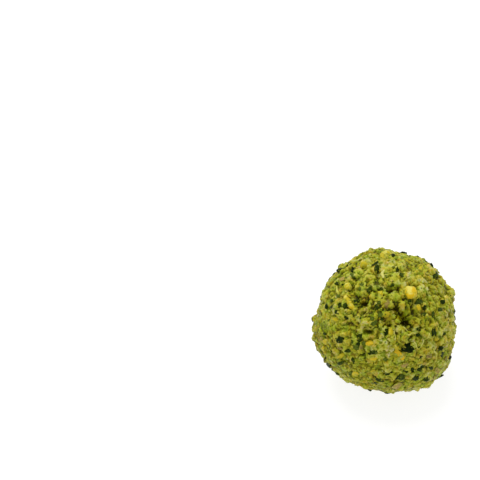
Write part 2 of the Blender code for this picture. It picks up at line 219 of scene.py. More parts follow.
LEAVES = (
    (6.2, -7.2, 3.4, 2.3, -10),
    (-7.1, -4.4, 2.4, 1.9, 80),
    (-12.6, -5.0, 2.1, 1.6, 60),
    (4.3, -15.2, 2.4, 1.6, 20),
    (13.4, -3.0, 2.4, 1.2, 90),
    (-15.6, -11.9, 2.0, 1.6, 40),
    (9.0, 5.5, 2.0, 1.5, 0),
    (-4.3, 9.1, 2.0, 1.6, 60),
    (13.7, 12.7, 2.0, 1.4, 90),
    (-3.7, -8.4, 2.4, 1.2, 0),
    (17.9, -10.2, 1.8, 1.4, 90),
    # Too small for the solid
    (-2.2, 14.2, 1.9, 1.1, 80),
    (-2.9, 15.9, 2.2, 0.7, 30),
    (-9.1, 14.6, 1.3, 0.8, 80),
    (-9.4, 13.2, 1.2, 0.8, 60),
    (-10.2, 15.1, 0.9, 0.7, 90),
    (-12.7, 14.4, 1.8, 1.2, 50),
    (-14.3, 13.4, 1.4, 1.0, 45),
    (-6.6, 10.3, 0.9, 0.8, 0),
    (-7.1, 9.1, 1.0, 0.9, 90),
    (-1.1, 8.9, 1.0, 0.8, 0),
    (-13.1, 10.3, 0.8, 0.6, 0),
    (-17.9, 6.9, 1.2, 0.7, 85),
    (-13.2, 7.2, 1.0, 0.8, 90),
    (-14.9, 5.9, 0.8, 0.6, 0),
    (-16.3, 4.3, 1.4, 0.8, 85),
    (-14.9, 4.1, 0.9, 0.7, 0),
    (-12.6, 4.6, 1.7, 0.9, 70),
    (-10.8, 4.4, 1.3, 0.9, 60),
    (-8.1, 6.0, 2.0, 0.8, 10),
    (-6.9, 4.6, 1.1, 0.8, 0),
    (-2.5, 4.1, 1.3, 1.2, 45),
    (-1.7, 5.3, 1.0, 0.9, 0),
    (-13.7, 2.8, 1.0, 0.7, 80),
    (-10.7, 1.2, 0.8, 0.7, 0),
    (-3.7, 1.0, 0.9, 0.8, 0),
    (-3.1, -0.3, 1.6, 1.4, 0),
    (-1.0, 0.6, 1.0, 0.9, 45),
    (-1.4, 2.0, 1.3, 1.0, 30),
    (2.0, 18.8, 1.8, 1.0, -20),
    (3.4, 14.6, 1.1, 0.8, 80),
    (4.4, 13.1, 1.1, 0.8, -50),
    (1.9, 10.5, 0.9, 0.8, 0),
    (6.7, 5.7, 0.7, 0.6, 0),
    (16.0, 5.6, 1.2, 0.9, 80),
    (10.6, 2.2, 1.3, 0.8, 80),
    (12.9, 2.2, 1.3, 0.8, 70),
    (14.8, 3.4, 1.1, 0.8, 30),
    (10.9, 4.1, 1.0, 0.8, 90),
    (-5.9, -5.8, 1.0, 0.8, 70),
    (-7.5, -6.1, 0.9, 0.8, 0),
    (-8.1, -7.0, 1.6, 1.3, -30),
    (-9.2, -5.5, 1.0, 0.6, 80),
    (0.2, -2.8, 2.0, 0.9, 70),
    (-2.7, -8.6, 0.9, 0.7, 60),
    (0.0, -10.3, 0.9, 0.8, 20),
    (-9.0, -10.6, 1.4, 0.6, -50),
    (-12.7, -11.5, 1.9, 0.8, 20),
    (-16.5, -10.0, 0.8, 0.6, 0),
    (-14.5, -13.4, 1.1, 0.7, -20),
    (-13.5, -14.3, 1.3, 1.1, 0),
    (-9.7, -14.1, 1.0, 0.8, 60),
    (-1.7, -16.0, 3.0, 0.9, -18),
    (-2.5, -17.0, 1.3, 1.0, 0),
    (-10.3, -8.0, 1.3, 0.7, 10),
    (-16.5, -3.2, 0.8, 0.6, 0),
    (14.9, -4.2, 0.9, 0.7, 60),
    (16.3, -3.2, 0.9, 0.7, 0),
    (8.9, -3.6, 0.7, 0.6, 0),
    (9.0, -2.0, 1.1, 0.6, -20),
    (9.7, -9.8, 0.9, 0.7, 70),
    (15.4, -8.9, 1.5, 0.9, 45),
    (14.9, -7.2, 1.0, 0.8, 80),
    (12.5, -12.6, 1.1, 0.8, 0),
    (9.2, -13.1, 1.7, 0.8, 5),
    (7.4, -13.2, 1.0, 0.9, 80),
    (3.2, -15.6, 2.2, 1.0, 20),
    (8.3, -15.5, 1.6, 1.3, 60),
    (11.4, -15.9, 1.3, 1.0, 40),
    (5.7, -13.7, 1.0, 0.8, 0),
    (10.3, -12.3, 0.9, 0.7, 30),
    (0.5, -14.3, 1.0, 0.7, 0),
)
SKINS = (
    (3.5, -17.7, 4.6, 2.2, -8),
    (-17.9, -5.0, 2.4, 1.6, 90),
    (12.0, -9.4, 2.6, 1.8, 20),
    # Too small for the solid
    (14.6, -13.7, 2.4, 1.5, 45),
    (16.8, -6.4, 2.2, 1.4, 80),
    (5.1, -11.9, 2.6, 1.8, 0),
    (-12.9, -7.3, 2.2, 1.4, 20),
    (-6.8, -6.9, 1.7, 1.2, 70),
    (-11.7, 11.5, 2.4, 1.2, 10),
    (-5.4, 2.2, 1.9, 1.3, 30),
    (1.9, 2.8, 1.7, 1.3, -40),
    (2.1, -0.2, 2.0, 1.2, -60),
    (0.6, 5.2, 2.6, 2.0, 60),
)
CRUMBS = (
    (-5.9, -0.3, 3.1, 2.6, 20),
    (0.4, 15.6, 3.6, 2.8, 40),
    (2.9, 12.7, 3.2, 2.2, 60),
    (4.3, 18.0, 3.2, 2.8, 70),
    (10.1, 9.7, 2.4, 1.8, 80),
    (12.6, 13.8, 2.6, 2.0, -30),
    (-4.6, 17.2, 3.0, 2.4, 10),
    (-12.4, 14.8, 2.8, 2.4, 50),
    (9.8, 11.4, 3.0, 2.6, 0),
    (18.2, 8.2, 2.6, 2.0, 60),
    (-9.0, -9.0, 2.6, 2.2, 0),
    (-1.2, 6.0, 2.8, 2.2, 45),
    (8.6, -2.0, 2.6, 2.0, 60),
    (15.2, 2.5, 2.8, 2.2, 80),
    (-14.5, 3.5, 2.6, 2.0, 80),
    (0.8, -13.2, 2.8, 2.0, 0),
    (12.4, -16.0, 2.2, 1.6, -40),
)
FIBRES = (
    (3.9, -3.3, 4.4, 0.35, 88),
    (2.6, -3.6, 3.0, 0.45, 80),
    (7.3, -3.2, 4.6, 0.40, 4),
    (5.6, -1.9, 1.7, 0.35, -40),
    (9.1, -5.3, 1.3, 0.30, 35),
    (9.1, -10.3, 1.3, 0.45, 80),
    (13.0, -7.4, 3.0, 0.30, -55),
    (13.6, -8.2, 2.6, 0.30, -60),
    (11.8, -3.9, 2.4, 0.40, 70),
    (-0.7, 13.3, 3.6, 0.90, 85),
    (-4.7, 3.5, 2.4, 0.60, 65),
    (8.4, -6.4, 2.2, 0.30, -50),
    (-13.3, 8.6, 2.6, 0.70, -70),
    (10.2, -6.0, 2.4, 0.35, 60),
)

# Bits at random: how many, how far apart and how long in millimetres, and how slim
MORE_KERNELS = (62, 3.4, (1.3, 3.6), (0.55, 0.90))
MORE_LEAVES = (125, 2.2, (0.8, 2.9), (0.45, 0.90))
MORE_SKINS = (24, 5.0, (1.6, 3.4), (0.50, 0.80))
MORE_FIBRES = (26, 4.0, (1.4, 4.4), (0.12, 0.20))
LEAF_SPECKS = (400, 0.9, (0.35, 1.00), (0.40, 0.90))
CRUMB_SCALES = (1300, 0.9, (0.7, 2.4), (0.35, 0.80))
SHORT_ONES = 1.8

# Random bits stay where their ray goes less than this far towards the viewer
UNSEEN = 0.1
ANYWHERE = 2.0

# The picture: its side in pixels and where the ball's middle falls
PICTURE_SIDE = 480
BALL_PIXEL = (385.5, 322.0)
LENS_MM = 160.0
SENSOR_MM = 36.0


# Form


def smoothstep(low, high, value):
    """Goes smoothly from 0 at low to 1 at high."""
    t = np.clip((value - low) / (high - low), 0.0, 1.0)
    return t * t * (3 - 2 * t)


def bell(distance, spread):
    """1 in the middle, falling smoothly to 0 over a few spreads."""
    return np.exp(-0.5 * (distance / spread) ** 2)


def unit(vectors):
    return vectors / np.linalg.norm(vectors, axis=-1, keepdims=True)


def in_metres(millimetres):
    return tuple(value * MM for value in millimetres)


# Places over the ball are given by rays: arrows of length 1 from its middle


def shown_ray(across, up, radius=BALL_RADIUS):
    """The ray to a place on the shown side, or on its outline."""
    aside = (TO_RIGHT * across + TO_UP * up) * MM
    reach = VIEW_DISTANCE**2 + aside @ aside
    clear = max(0.0, VIEW_DISTANCE**4 - reach * (VIEW_DISTANCE**2 - radius**2))
    share = (VIEW_DISTANCE**2 - math.sqrt(clear)) / reach
    return unit(aside * share + TO_VIEWER * (VIEW_DISTANCE * (1 - share)))


def shown_axis(turn):
    """The axis that is turned by so many degrees from the shown side's right."""
    return TO_RIGHT * math.cos(math.radians(turn)) + TO_UP * math.sin(math.radians(turn))


def arc_to(rays, across, up):
    """Distance over the ball from each ray to a place on the shown side."""
    return np.arccos(np.clip(rays @ shown_ray(across, up), -1, 1)) * BALL_RADIUS


def noise_at(places, shift=(0.0, 0.0, 0.0)):
    """Smooth noise between about -1 and 1 at each place."""
    moved = places + np.array(shift)
    return np.array([noise.noise(place) for place in moved.tolist()])


def grain_at(places, octaves, shift=(0.0, 0.0, 0.0)):
    """Noise of several sizes at each place, each half the size of the last and weaker."""
    total = np.zeros(len(places))
    for octave in range(octaves):
        total += noise_at(places * 2.0**octave, np.array(shift) + 5.3 * octave) / 1.7**octave
    return total


def swelling_height(rays):
    height = np.zeros(len(rays))
    for across, up, rise, spread in SWELLINGS:
        height += rise * MM * bell(arc_to(rays, across, up), spread * MM)
    return height


def hollow_depth(rays, hollows):
    depth = np.zeros(len(rays))
    for across, up, length, width, turn, deep in hollows:
        middle = shown_ray(across, up)
        length_axis = shown_axis(turn)
        length_axis = unit(length_axis - middle * length_axis.dot(middle))
        offset = (rays - middle) * BALL_RADIUS
        along = offset @ length_axis / (length * MM)
        beside = offset @ np.cross(middle, length_axis) / (width * MM)
        near = rays @ middle > 0
        depth += near * deep * MM * bell(np.hypot(along, beside), HOLLOW_SOFTNESS)
    return depth


def nearness(rays, stretches):
    """1 in the middle of a stretch of the shown side, falling to 0 away from them."""
    near = np.zeros(len(rays))
    for across, up, spread in stretches:
        near = np.maximum(near, bell(arc_to(rays, across, up), spread * MM))
    return near


def unseen_share(rays, edge):
    """0 on the shown side, rising to 1 between these turns away from the viewer."""
    return smoothstep(*edge, -(rays @ TO_VIEWER))


def unseen_patches(rays, fineness, shift, noise_edge, turn_edge):
    """1 in the unseen side's patches, 0 between them and on the shown side."""
    patches = smoothstep(*noise_edge, noise_at(rays * fineness, shift))
    return patches * unseen_share(rays, turn_edge)


def relief_share(rays):
    """1 where the surface is rough, less where it has been pressed smooth."""
    under = smoothstep(*REST_SPOT_EDGE, -rays[:, 2])
    unseen = np.maximum(unseen_patches(rays, *PRESSED_PATCHES), under)
    return 1 - (1 - PRESSED_RELIEF) * np.maximum(nearness(rays, PRESSED), unseen)


def torn_share(rays):
    """1 where crumbs have been torn away and deep gaps show, 0 where the mass is closed."""
    return np.maximum(nearness(rays, TORN), unseen_patches(rays, *TORN_PATCHES))


def lump_height(rays):
    """Relief of packed lumps with crevices."""
    height = np.zeros(len(rays))
    for size, step, bulge, crevice in LUMPS:
        nearest = np.empty(len(rays))
        border = np.empty(len(rays))
        rise = np.empty(len(rays))
        for i, place in enumerate((rays * (BALL_RADIUS / size)).tolist()):
            distances, seeds = noise.voronoi(place)
            nearest[i] = distances[0]
            border[i] = distances[1] - distances[0]
            rise[i] = noise.noise(seeds[0] * STEP_NOISE)
        inside = smoothstep(0.0, CREVICE_WIDTH, border)
        height += (crevice + step * rise + bulge * (0.5 - nearest)) * inside - crevice
    return height


def surface(rays):
    """The solid's surface: its radius and how rough it is at each ray."""
    share = relief_share(rays)
    form = BALL_RADIUS + swelling_height(rays) - hollow_depth(rays, HOLLOWS)
    return form + lump_height(rays) * share, share


def tone_and_painted_light_at(rays):
    """How much lighter or darker than the rest the ball is at each ray: the paste's own patches and
    painted light and shade, with random mottle on the unseen side.
    """
    shade = np.zeros(len(rays))
    for across, up, spread, lighter in TONE_PATCHES_AND_PAINTED_LIGHT:
        shade += lighter * bell(arc_to(rays, across, up), spread * MM)
    unseen = unseen_share(rays, SHADE_EDGE)
    return shade + UNSEEN_SHADE * unseen * noise_at(rays * SHADE_NOISE, SHADE_SHIFT)


# Materials

# The surface loses a share of the light that falls on it, and every colour is made lighter by as much
LIGHT_LOSS = 1.15


def linear(red, green, blue):
    """A colour given as the picture's 0 to 255 numbers, as a shader takes it."""
    shares = np.array((red, green, blue)) / 255.0
    low = shares / 12.92
    high = ((shares + 0.055) / 1.055) ** 2.4
    return (*np.clip(np.where(shares <= 0.04045, low, high) * LIGHT_LOSS, 0, 1), 1.0)


DEEP = linear(58, 52, 0)
DEEP_OLIVE = linear(84, 82, 1)
OLIVE = linear(112, 111, 3)
MOSS = linear(135, 135, 13)
LIME = linear(157, 156, 29)
YELLOW_LIME = linear(170, 168, 55)
PALE = linear(184, 182, 86)
TAN = linear(138, 120, 56)
PINK_TAN = linear(152, 128, 62)
BROWN = linear(105, 88, 36)
MUSTARD = linear(160, 146, 18)
AMBER = linear(176, 162, 24)
GOLD = linear(197, 163, 16)
# Cream of the kernels, also their painted highlight on faces that turn up
CREAM_AND_TOP_HIGHLIGHT = linear(204, 198, 96)
STRAND = linear(187, 184, 101)
LEAF_BLACK = linear(15, 26, 3)
LEAF_DARK = linear(28, 42, 4)
LEAF_GREEN = linear(48, 61, 11)
LEAF_PALE = linear(84, 97, 28)

# What turns a colour towards another: more mustard, greener, or dulled as by a chalky bloom
MUSTARD_TINT = (1.08, 0.84, 0.62, 1.0)
GREEN_TINT = (0.78, 1.00, 0.95, 1.0)
CHALK_TINT = (1.00, 0.98, 2.80, 1.0)

# How deep light of each colour goes into moist crumb
LIGHT_DEPTH = 0.7 * MM
LIGHT_DEPTH_SHARES = (1.0, 0.8, 0.25)


def set_inputs(node, values):
    """Sets a node's inputs, or links those whose value is another node's output."""
    for socket, value in values.items():
        if isinstance(value, bpy.types.NodeSocket):
            node.id_data.links.new(value, node.inputs[socket])
        else:
            node.inputs[socket].default_value = value


class Graph:
    """A material's node tree with short calls for the nodes used here."""

    def __init__(self, name, subsurface=0.0, shine=0.1):
        self.material = bpy.data.materials.new(name)
        self.material.use_nodes = True
        self.nodes = self.material.node_tree.nodes
        self.shader = self.nodes["Principled BSDF"]
        values = {
            "Subsurface Weight": subsurface,
            "Subsurface Radius": LIGHT_DEPTH_SHARES,
            "Subsurface Scale": LIGHT_DEPTH,
            "Specular IOR Level": shine,
        }
        set_inputs(self.shader, values)
        self.place = self.output("TexCoord", "Object", {})

    def output(self, kind, name, values):
        """A new node's output."""
        node = self.nodes.new("ShaderNode" + kind)
        set_inputs(node, values)
        return node.outputs[name]

    def attribute(self, name):
        node = self.nodes.new("ShaderNodeAttribute")
        node.attribute_name = name
        return node.outputs["Fac"]

    def upness(self):
        """1 where the surface faces up, 0 where it is upright, -1 where it faces down."""
        return self.output("SeparateXYZ", "Z", {"Vector": self.output("NewGeometry", "Normal", {})})

    def noise(self, size, detail=2.0, roughness=0.5, distortion=0.0):
        values = {"Vector": self.place, "Scale": 1 / size, "Detail": detail}
        values.update({"Roughness": roughness, "Distortion": distortion})
        return self.output("TexNoise", "Fac", values)

    def cells(self, size):
        """Distance to the nearest of many scattered points, in cells of this size."""
        return self.output("TexVoronoi", "Distance", {"Vector": self.place, "Scale": 1 / size})

    def math(self, operation, first, second):
        node = self.nodes.new("ShaderNodeMath")
        node.operation = operation
        set_inputs(node, {0: first, 1: second})
        return node.outputs["Value"]

    def total(self, *terms, plus=0.0):
        """The sum of values, each times its weight, plus a constant."""
        whole = None
        for value, weight in terms:
            term = self.math("MULTIPLY", value, weight)
            whole = term if whole is None else self.math("ADD", whole, term)
        return self.math("ADD", whole, plus) if plus else whole

    def spread(self, value, low, high, to_low=0.0, to_high=1.0):
        node = self.nodes.new("ShaderNodeMapRange")
        node.interpolation_type = "SMOOTHSTEP"
        values = {"Value": value, "From Min": low, "From Max": high, "To Min": to_low, "To Max": to_high}
        set_inputs(node, values)
        return node.outputs["Result"]

    def ramp(self, value, stops):
        node = self.nodes.new("ShaderNodeValToRGB")
        set_inputs(node, {"Fac": value})
        points = node.color_ramp.elements
        while len(points) < len(stops):
            points.new(0.5)
        for point, (position, colour) in zip(points, stops):
            point.position = position
            point.color = colour
        return node.outputs["Color"]

    def mix(self, share, first, second, blend="MIX"):
        node = self.nodes.new("ShaderNodeMix")
        node.data_type = "RGBA"
        node.blend_type = blend
        set_inputs(node, {"Factor": share, 6: first, 7: second})
        return node.outputs[2]

    def tinted(self, colour, share, tint):
        return self.mix(share, colour, self.mix(1.0, colour, tint, "MULTIPLY"))

    def bump(self, height, distance, strength):
        values = {"Strength": strength, "Distance": distance, "Height": height}
        return self.output("Bump", "Normal", values)

    def smeared(self, colour, size, share, at_edge):
        """The colour with crumb smeared over it, more of it where the bit's edge is near."""
        smear = self.noise(size, detail=4.0, roughness=0.6, distortion=0.6)
        smear = self.total((smear, 1.0), (self.attribute("edge"), at_edge))
        smear = self.spread(self.math("ADD", smear, share), 0.60, 0.68, 0.0, 0.95)
        crumb = self.ramp(self.noise(0.6 * MM, detail=3.0), ((0.35, OLIVE), (0.65, YELLOW_LIME)))
        return self.mix(smear, colour, crumb)

    def finish(self, colour, roughness, normal):
        set_inputs(self.shader, {"Base Color": colour, "Roughness": roughness, "Normal": normal})
        return self.material


def crumb_material():
    """Moist crumb: a tone for each crumb, mottled, greener or more mustard, with painted shade in its
    clefts and a little painted light on its tops.
    """
    g = Graph("crumb", subsurface=0.05, shine=0.11)
    tone = g.attribute("tone")
    hollow_shade = g.attribute("hollow_shade")
    broad = g.noise(2.6 * MM)
    fine = g.noise(0.55 * MM, detail=3.0, roughness=0.65)
    # The hollow shade is painted shade in the clefts and a little painted light on the tops
    value = g.total((tone, 0.60), (hollow_shade, -0.40), (broad, 0.42), (fine, 0.54), plus=-0.225)
    positions = (0.00, 0.16, 0.32, 0.48, 0.64, 0.80, 1.00)
    colours = (DEEP, DEEP_OLIVE, OLIVE, MOSS, LIME, YELLOW_LIME, PALE)
    colour = g.ramp(value, tuple(zip(positions, colours)))
    warm = g.spread(g.noise(1.7 * MM, detail=3.0, roughness=0.6), 0.50, 0.61, 0.0, 0.9)
    colour = g.tinted(colour, warm, MUSTARD_TINT)
    cool = g.spread(g.noise(2.1 * MM, detail=3.0, roughness=0.6), 0.45, 0.58)
    cool = g.math("MULTIPLY", cool, g.spread(value, 0.45, 0.90, 1.0, 0.45))
    colour = g.tinted(colour, cool, GREEN_TINT)
    bloom = g.spread(g.noise(2.4 * MM, detail=4.0, roughness=0.6), 0.50, 0.64)
    colour = g.tinted(colour, bloom, CHALK_TINT)
    dust = g.spread(g.cells(0.80 * MM), 0.17, 0.25, 1.0, 0.0)
    sparse = g.spread(g.noise(1.6 * MM, detail=1.0), 0.50, 0.58)
    colour = g.mix(g.math("MULTIPLY", g.math("MULTIPLY", dust, sparse), 0.6), colour, LEAF_DARK)
    gloss = g.spread(g.noise(1.1 * MM), 0.35, 0.65, 0.22, 0.62)
    grain = g.bump(g.noise(0.42 * MM, detail=4.0, roughness=0.70), 0.20 * MM, 0.9)
    return g.finish(colour, gloss, grain)


def kernel_material():
    """Waxy kernel: mustard to gold with creamy patches, more of them on faces turned up as a painted
    highlight, smeared with crumb, the dull ones most.
    """
    g = Graph("kernel", subsurface=0.12, shine=0.12)
    golden = g.attribute("tone")
    value = g.total((golden, 0.80), (g.noise(1.2 * MM, detail=3.0), 0.70), plus=-0.35)
    colour = g.ramp(value, ((0.10, MUSTARD), (0.45, AMBER), (0.85, GOLD)))
    # Cream in noise patches and, as a painted highlight, more on faces that turn up
    cream_and_top_highlight = g.total((g.noise(1.8 * MM), 1.0), (g.upness(), 0.14))
    colour = g.mix(g.spread(cream_and_top_highlight, 0.64, 0.76, 0.0, 0.7), colour, CREAM_AND_TOP_HIGHLIGHT)
    colour = g.smeared(colour, 1.0 * MM, g.total((golden, -0.16), plus=0.12), 0.20)
    grain = g.bump(g.noise(0.6 * MM, detail=3.0), 0.08 * MM, 0.6)
    return g.finish(colour, 0.42, grain)


def leaf_material():
    """Herb leaf: nearly black green with lighter veins and worn patches."""
    g = Graph("leaf", shine=0.03)
    worn = g.noise(0.7 * MM, detail=3.0)
    value = g.total((worn, 0.8), (g.attribute("tone"), 0.45), plus=-0.12)
    stops = ((0.30, LEAF_BLACK), (0.48, LEAF_DARK), (0.68, LEAF_GREEN), (0.88, LEAF_PALE))
    colour = g.smeared(g.ramp(value, stops), 0.9 * MM, -0.07, 0.12)
    grain = g.bump(g.noise(0.45 * MM, detail=3.0), 0.08 * MM, 0.7)
    return g.finish(colour, 0.42, grain)


def skin_material():
    """Dry skin of pulses and seeds: tan to pinkish with brown and olive smears."""
    g = Graph("skin", subsurface=0.05, shine=0.15)
    smear = g.noise(1.0 * MM, detail=3.0)
    value = g.total((smear, 0.9), (g.attribute("tone"), 0.35), plus=-0.12)
    colour = g.ramp(value, ((0.32, BROWN), (0.46, TAN), (0.66, PINK_TAN)))
    colour = g.smeared(colour, 1.1 * MM, 0.04, 0.14)
    grain = g.bump(g.noise(0.45 * MM, detail=4.0), 0.08 * MM, 0.8)
    return g.finish(colour, 0.5, grain)


def fibre_material():
    """Pale plant strands, lime to straw."""
    g = Graph("fibre", subsurface=0.05, shine=0.15)
    value = g.total((g.noise(1.2 * MM), 0.8), (g.attribute("tone"), 0.4), plus=-0.10)
    colour = g.ramp(value, ((0.25, MOSS), (0.45, YELLOW_LIME), (0.70, STRAND)))
    return g.finish(colour, 0.45, g.bump(g.noise(0.3 * MM), 0.05 * MM, 0.6))


# Shapes that are copied over the ball

# How crumbs and chunks are broken: the fineness of their mesh, how many forms there are, the broken faces
# of each, how uneven they are and how grainy
LARGE_CRUMB = (3, 26, 4, 0.50, 0.20)
SMALL_CRUMB = (2, 26, 4, 0.50, 0.20)
NAMED_CRUMB = (4, 12, 5, 0.35, 0.10)
LOOSE_CRUMB = (2, 24, 3, 0.50, 0.15)
GRIT_CRUMB = (1, 24, 3, 0.50, 0.15)
KERNEL_CHUNK = (3, 24, 4, 0.42, 0.08)
LEAF_WAD = (3, 24, 4, 0.50, 0.08)
UNEVEN_NOISE = 1.1
GRAINY_NOISE = 2.6
BREAK_PLACES = (0.45, 0.80)
BREAK_SHARE = 0.9


def icosphere(subdivisions, cuts=0):
    """Unit sphere: its points, its triangles and its edges, finer with cuts through every edge."""
    shape = bmesh.new()
    bmesh.ops.create_icosphere(shape, subdivisions=subdivisions, radius=1.0)
    if cuts:
        bmesh.ops.subdivide_edges(shape, edges=shape.edges, cuts=cuts, use_grid_fill=True)
        bmesh.ops.triangulate(shape, faces=shape.faces)
    shape.verts.index_update()
    points = np.array([vertex.co[:] for vertex in shape.verts])
    faces = np.array([[vertex.index for vertex in face.verts] for face in shape.faces])
    edges = np.array([[vertex.index for vertex in edge.verts] for edge in shape.edges])
    shape.free()
    return unit(points), faces, edges


def broken_shapes(subdivisions, count, facets, unevenness, grain, draw):
    """Uneven crumbs with a few broken faces, all with the same triangles."""
    points, faces, _ = icosphere(subdivisions)
    shapes = []
    for _ in range(count):
        shift = draw.uniform(-50, 50, 3)
        form = points * (1 + unevenness * noise_at(points * UNEVEN_NOISE, shift))[:, None]
        for _ in range(facets):
            across_break = unit(draw.normal(size=3))
            over = form @ across_break - draw.uniform(*BREAK_PLACES)
            form -= np.clip(over, 0, None)[:, None] * across_break * BREAK_SHARE
        form += points * (grain * grain_at(points * GRAINY_NOISE, 2, shift))[:, None]
        shapes.append(form)
    return np.array(shapes), faces


def random_turns(count, draw):
    """Random rotation matrices."""
    w, x, y, z = unit(draw.normal(size=(count, 4))).T
    rows = (
        (1 - 2 * (y * y + z * z), 2 * (x * y - z * w), 2 * (x * z + y * w)),
        (2 * (x * y + z * w), 1 - 2 * (x * x + z * z), 2 * (y * z - x * w)),
        (2 * (x * z - y * w), 2 * (y * z + x * w), 1 - 2 * (x * x + y * y)),
    )
    return np.moveaxis(np.array(rows), 2, 0)


def turns_along(out, axes):
    """Matrices that turn a bit's length along an axis and its top outwards."""
    along = unit(axes - out * (axes * out).sum(1, keepdims=True))
    return np.stack((along, np.cross(out, along), out), axis=2)


def placed(shapes, faces, picks, turns, half_sizes, middles):
    """Copies of shapes at their places: all points and all triangles of one joined mesh."""
    points = shapes[picks] * half_sizes[:, None, :]
    points = np.einsum("nij,npj->npi", turns, points) + middles[:, None, :]
    return points.reshape(-1, 3), repeated(faces, len(picks), shapes.shape[1])


def repeated(faces, copies, points_each):
    """The triangles of so many copies of a shape."""
    starts = np.arange(copies)[:, None, None] * points_each
    return (faces[None] + starts).reshape(-1, 3)


def chain_faces(loops, corners):
    """Triangles round a chain of loops that is closed by a point at either end."""
    faces = []
    last = 1 + (loops - 1) * corners
    for k in range(corners):
        after = (k + 1) % corners
        faces.append((0, 1 + k, 1 + after))
        faces.append((last + k, last + corners, last + after))
        for loop in range(loops - 1):
            inner = 1 + loop * corners
            outer = inner + corners
            faces.append((inner + k, outer + k, outer + after))
            faces.append((inner + k, outer + after, inner + after))
    return np.array(faces)


# Places over the ball


class Bits(NamedTuple):
    """Bits set on the ball: where, along which axis, how long and how wide."""

    rays: np.ndarray
    axes: np.ndarray
    lengths: np.ndarray
    widths: np.ndarray

    def joined(self, other):
        return Bits(*(np.concatenate(pair) for pair in zip(self, other)))

    def kept(self, chosen):
        return Bits(*(part[chosen] for part in self))

    def grown(self, margin):
        return self._replace(lengths=self.lengths + margin, widths=self.widths + margin)


# The ball turns away towards its outline. A bit there is larger than it looks, up to this share
EDGE_FACING = 0.5

# Places that are tried for each one that is wanted
TRIES = 12


def laid_out(across, up, length, width, turn):
    """Axis and size on the ball of a bit that looks so long, so wide and so turned."""
    out = shown_ray(across, up)
    outwards = unit(np.array((across, up)))
    beside = np.array((-outwards[1], outwards[0]))
    along = np.array((math.cos(math.radians(turn)), math.sin(math.radians(turn))))
    square = np.array((-along[1], along[0]))
    look = length * np.outer(along, along) + width * np.outer(square, square)
    stretch = 1 / max(out @ TO_VIEWER, EDGE_FACING) - 1
    ways, sizes, _ = np.linalg.svd(look + stretch * np.outer(outwards, outwards @ look))
    down_the_side = TO_RIGHT * outwards[0] + TO_UP * outwards[1]
    down_the_side = unit(down_the_side - out * (down_the_side @ out))
    round_the_side = TO_RIGHT * beside[0] + TO_UP * beside[1]
    axis = down_the_side * (ways[:, 0] @ outwards) + round_the_side * (ways[:, 0] @ beside)
    return axis, sizes


def shown_bits(rows):
    """Bits named by their place and their look on the shown side."""
    rays = np.array([shown_ray(row[0], row[1]) for row in rows])
    radii, _ = surface(rays)
    rays = np.array([shown_ray(row[0], row[1], r) for row, r in zip(rows, radii)])
    laid = [laid_out(*row[:5]) for row in rows]
    axes = np.array([axis for axis, _ in laid])
    sizes = np.array([size for _, size in laid]) * MM
    return Bits(rays, axes, sizes[:, 0], sizes[:, 1])


def scattered(count, spacing, draw, taken=(), limit=ANYWHERE):
    """Rays at random, so far apart in millimetres and clear of taken ones."""
    tries = unit(draw.normal(size=(count * TRIES, 3)))
    tries = tries[tries @ TO_VIEWER < limit]
    cell = spacing * MM / BALL_RADIUS
    grid = {}
    kept = []
    near = [(x, y, z) for x in (-1, 0, 1) for y in (-1, 0, 1) for z in (-1, 0, 1)]
    for ray in taken:
        grid.setdefault(tuple((ray // cell).astype(int)), []).append(ray)
    for ray in tries:
        key = (ray // cell).astype(int)
        others = [grid.get((key[0] + x, key[1] + y, key[2] + z), ()) for x, y, z in near]
        if all(((ray - other) ** 2).sum() > cell**2 for group in others for other in group):
            grid.setdefault(tuple(key), []).append(ray)
            kept.append(ray)
            if len(kept) == count:
                break
    return np.array(kept)


def spread_bits(count, spacing, lengths, slimness, draw, taken=(), limit=UNSEEN):
    """Bits at random, the short ones more common than the long ones."""
    rays = scattered(count, spacing, draw, taken, limit)
    count = len(rays)
    low, high = in_metres(lengths)
    lengths = low + (high - low) * draw.uniform(0, 1, count) ** SHORT_ONES
    axes = draw.normal(size=(count, 3))
    return Bits(rays, axes, lengths, lengths * draw.uniform(*slimness, count))


def clear_of(rays, bits, share):
    """True for each ray that is clear of every bit's middle share."""
    nearest = np.full(len(rays), np.inf)
    for middle, length, width in zip(bits.rays, bits.lengths, bits.widths):
        arc = np.arccos(np.clip(rays @ middle, -1, 1)) * BALL_RADIUS
        nearest = np.minimum(nearest, arc / ((length + width) / 4))
    return nearest > share


class Ground:
    """The surface that the later bits are laid on."""

    START = 30 * MM
    REACH = 0.5 * MM
    STEEPEST = 0.6

    def __init__(self, points, faces):
        self.tree = BVHTree.FromPolygons(points.tolist(), faces)

    def radius(self, rays):
        """How far from the middle the ground lies along each ray."""
        found = np.empty(len(rays))
        for i, ray in enumerate(rays.tolist()):
            out = Vector(ray)
            found[i] = self.START - self.tree.ray_cast(out * self.START, -out)[3]
        return found

    def places(self, bits):
        return bits.rays * self.radius(bits.rays)[:, None]

    def turns(self, bits):
        """Matrices that lay each bit on the slope that the ground has there."""
        flat = turns_along(bits.rays, bits.axes)
        step = self.REACH / BALL_RADIUS
        slopes = []
        for axis in (flat[:, :, 0], flat[:, :, 1]):
            ahead = self.radius(unit(bits.rays + step * axis))
            behind = self.radius(unit(bits.rays - step * axis))
            slope = np.clip((ahead - behind) / (2 * self.REACH), -self.STEEPEST, self.STEEPEST)
            slopes.append(slope[:, None])
        out = flat[:, :, 2] - flat[:, :, 0] * slopes[0] - flat[:, :, 1] * slopes[1]
        return turns_along(unit(out), bits.axes)

    def draped(self, points, drape):
        """Each point's ray and its distance from the middle once it hangs down to the ground."""
        distance = np.linalg.norm(points, axis=2)
        rays = points / distance[:, :, None]
        under = self.radius(rays.reshape(-1, 3)).reshape(distance.shape)
        return rays, distance * (1 - drape) + under * drape


# The crumb mass


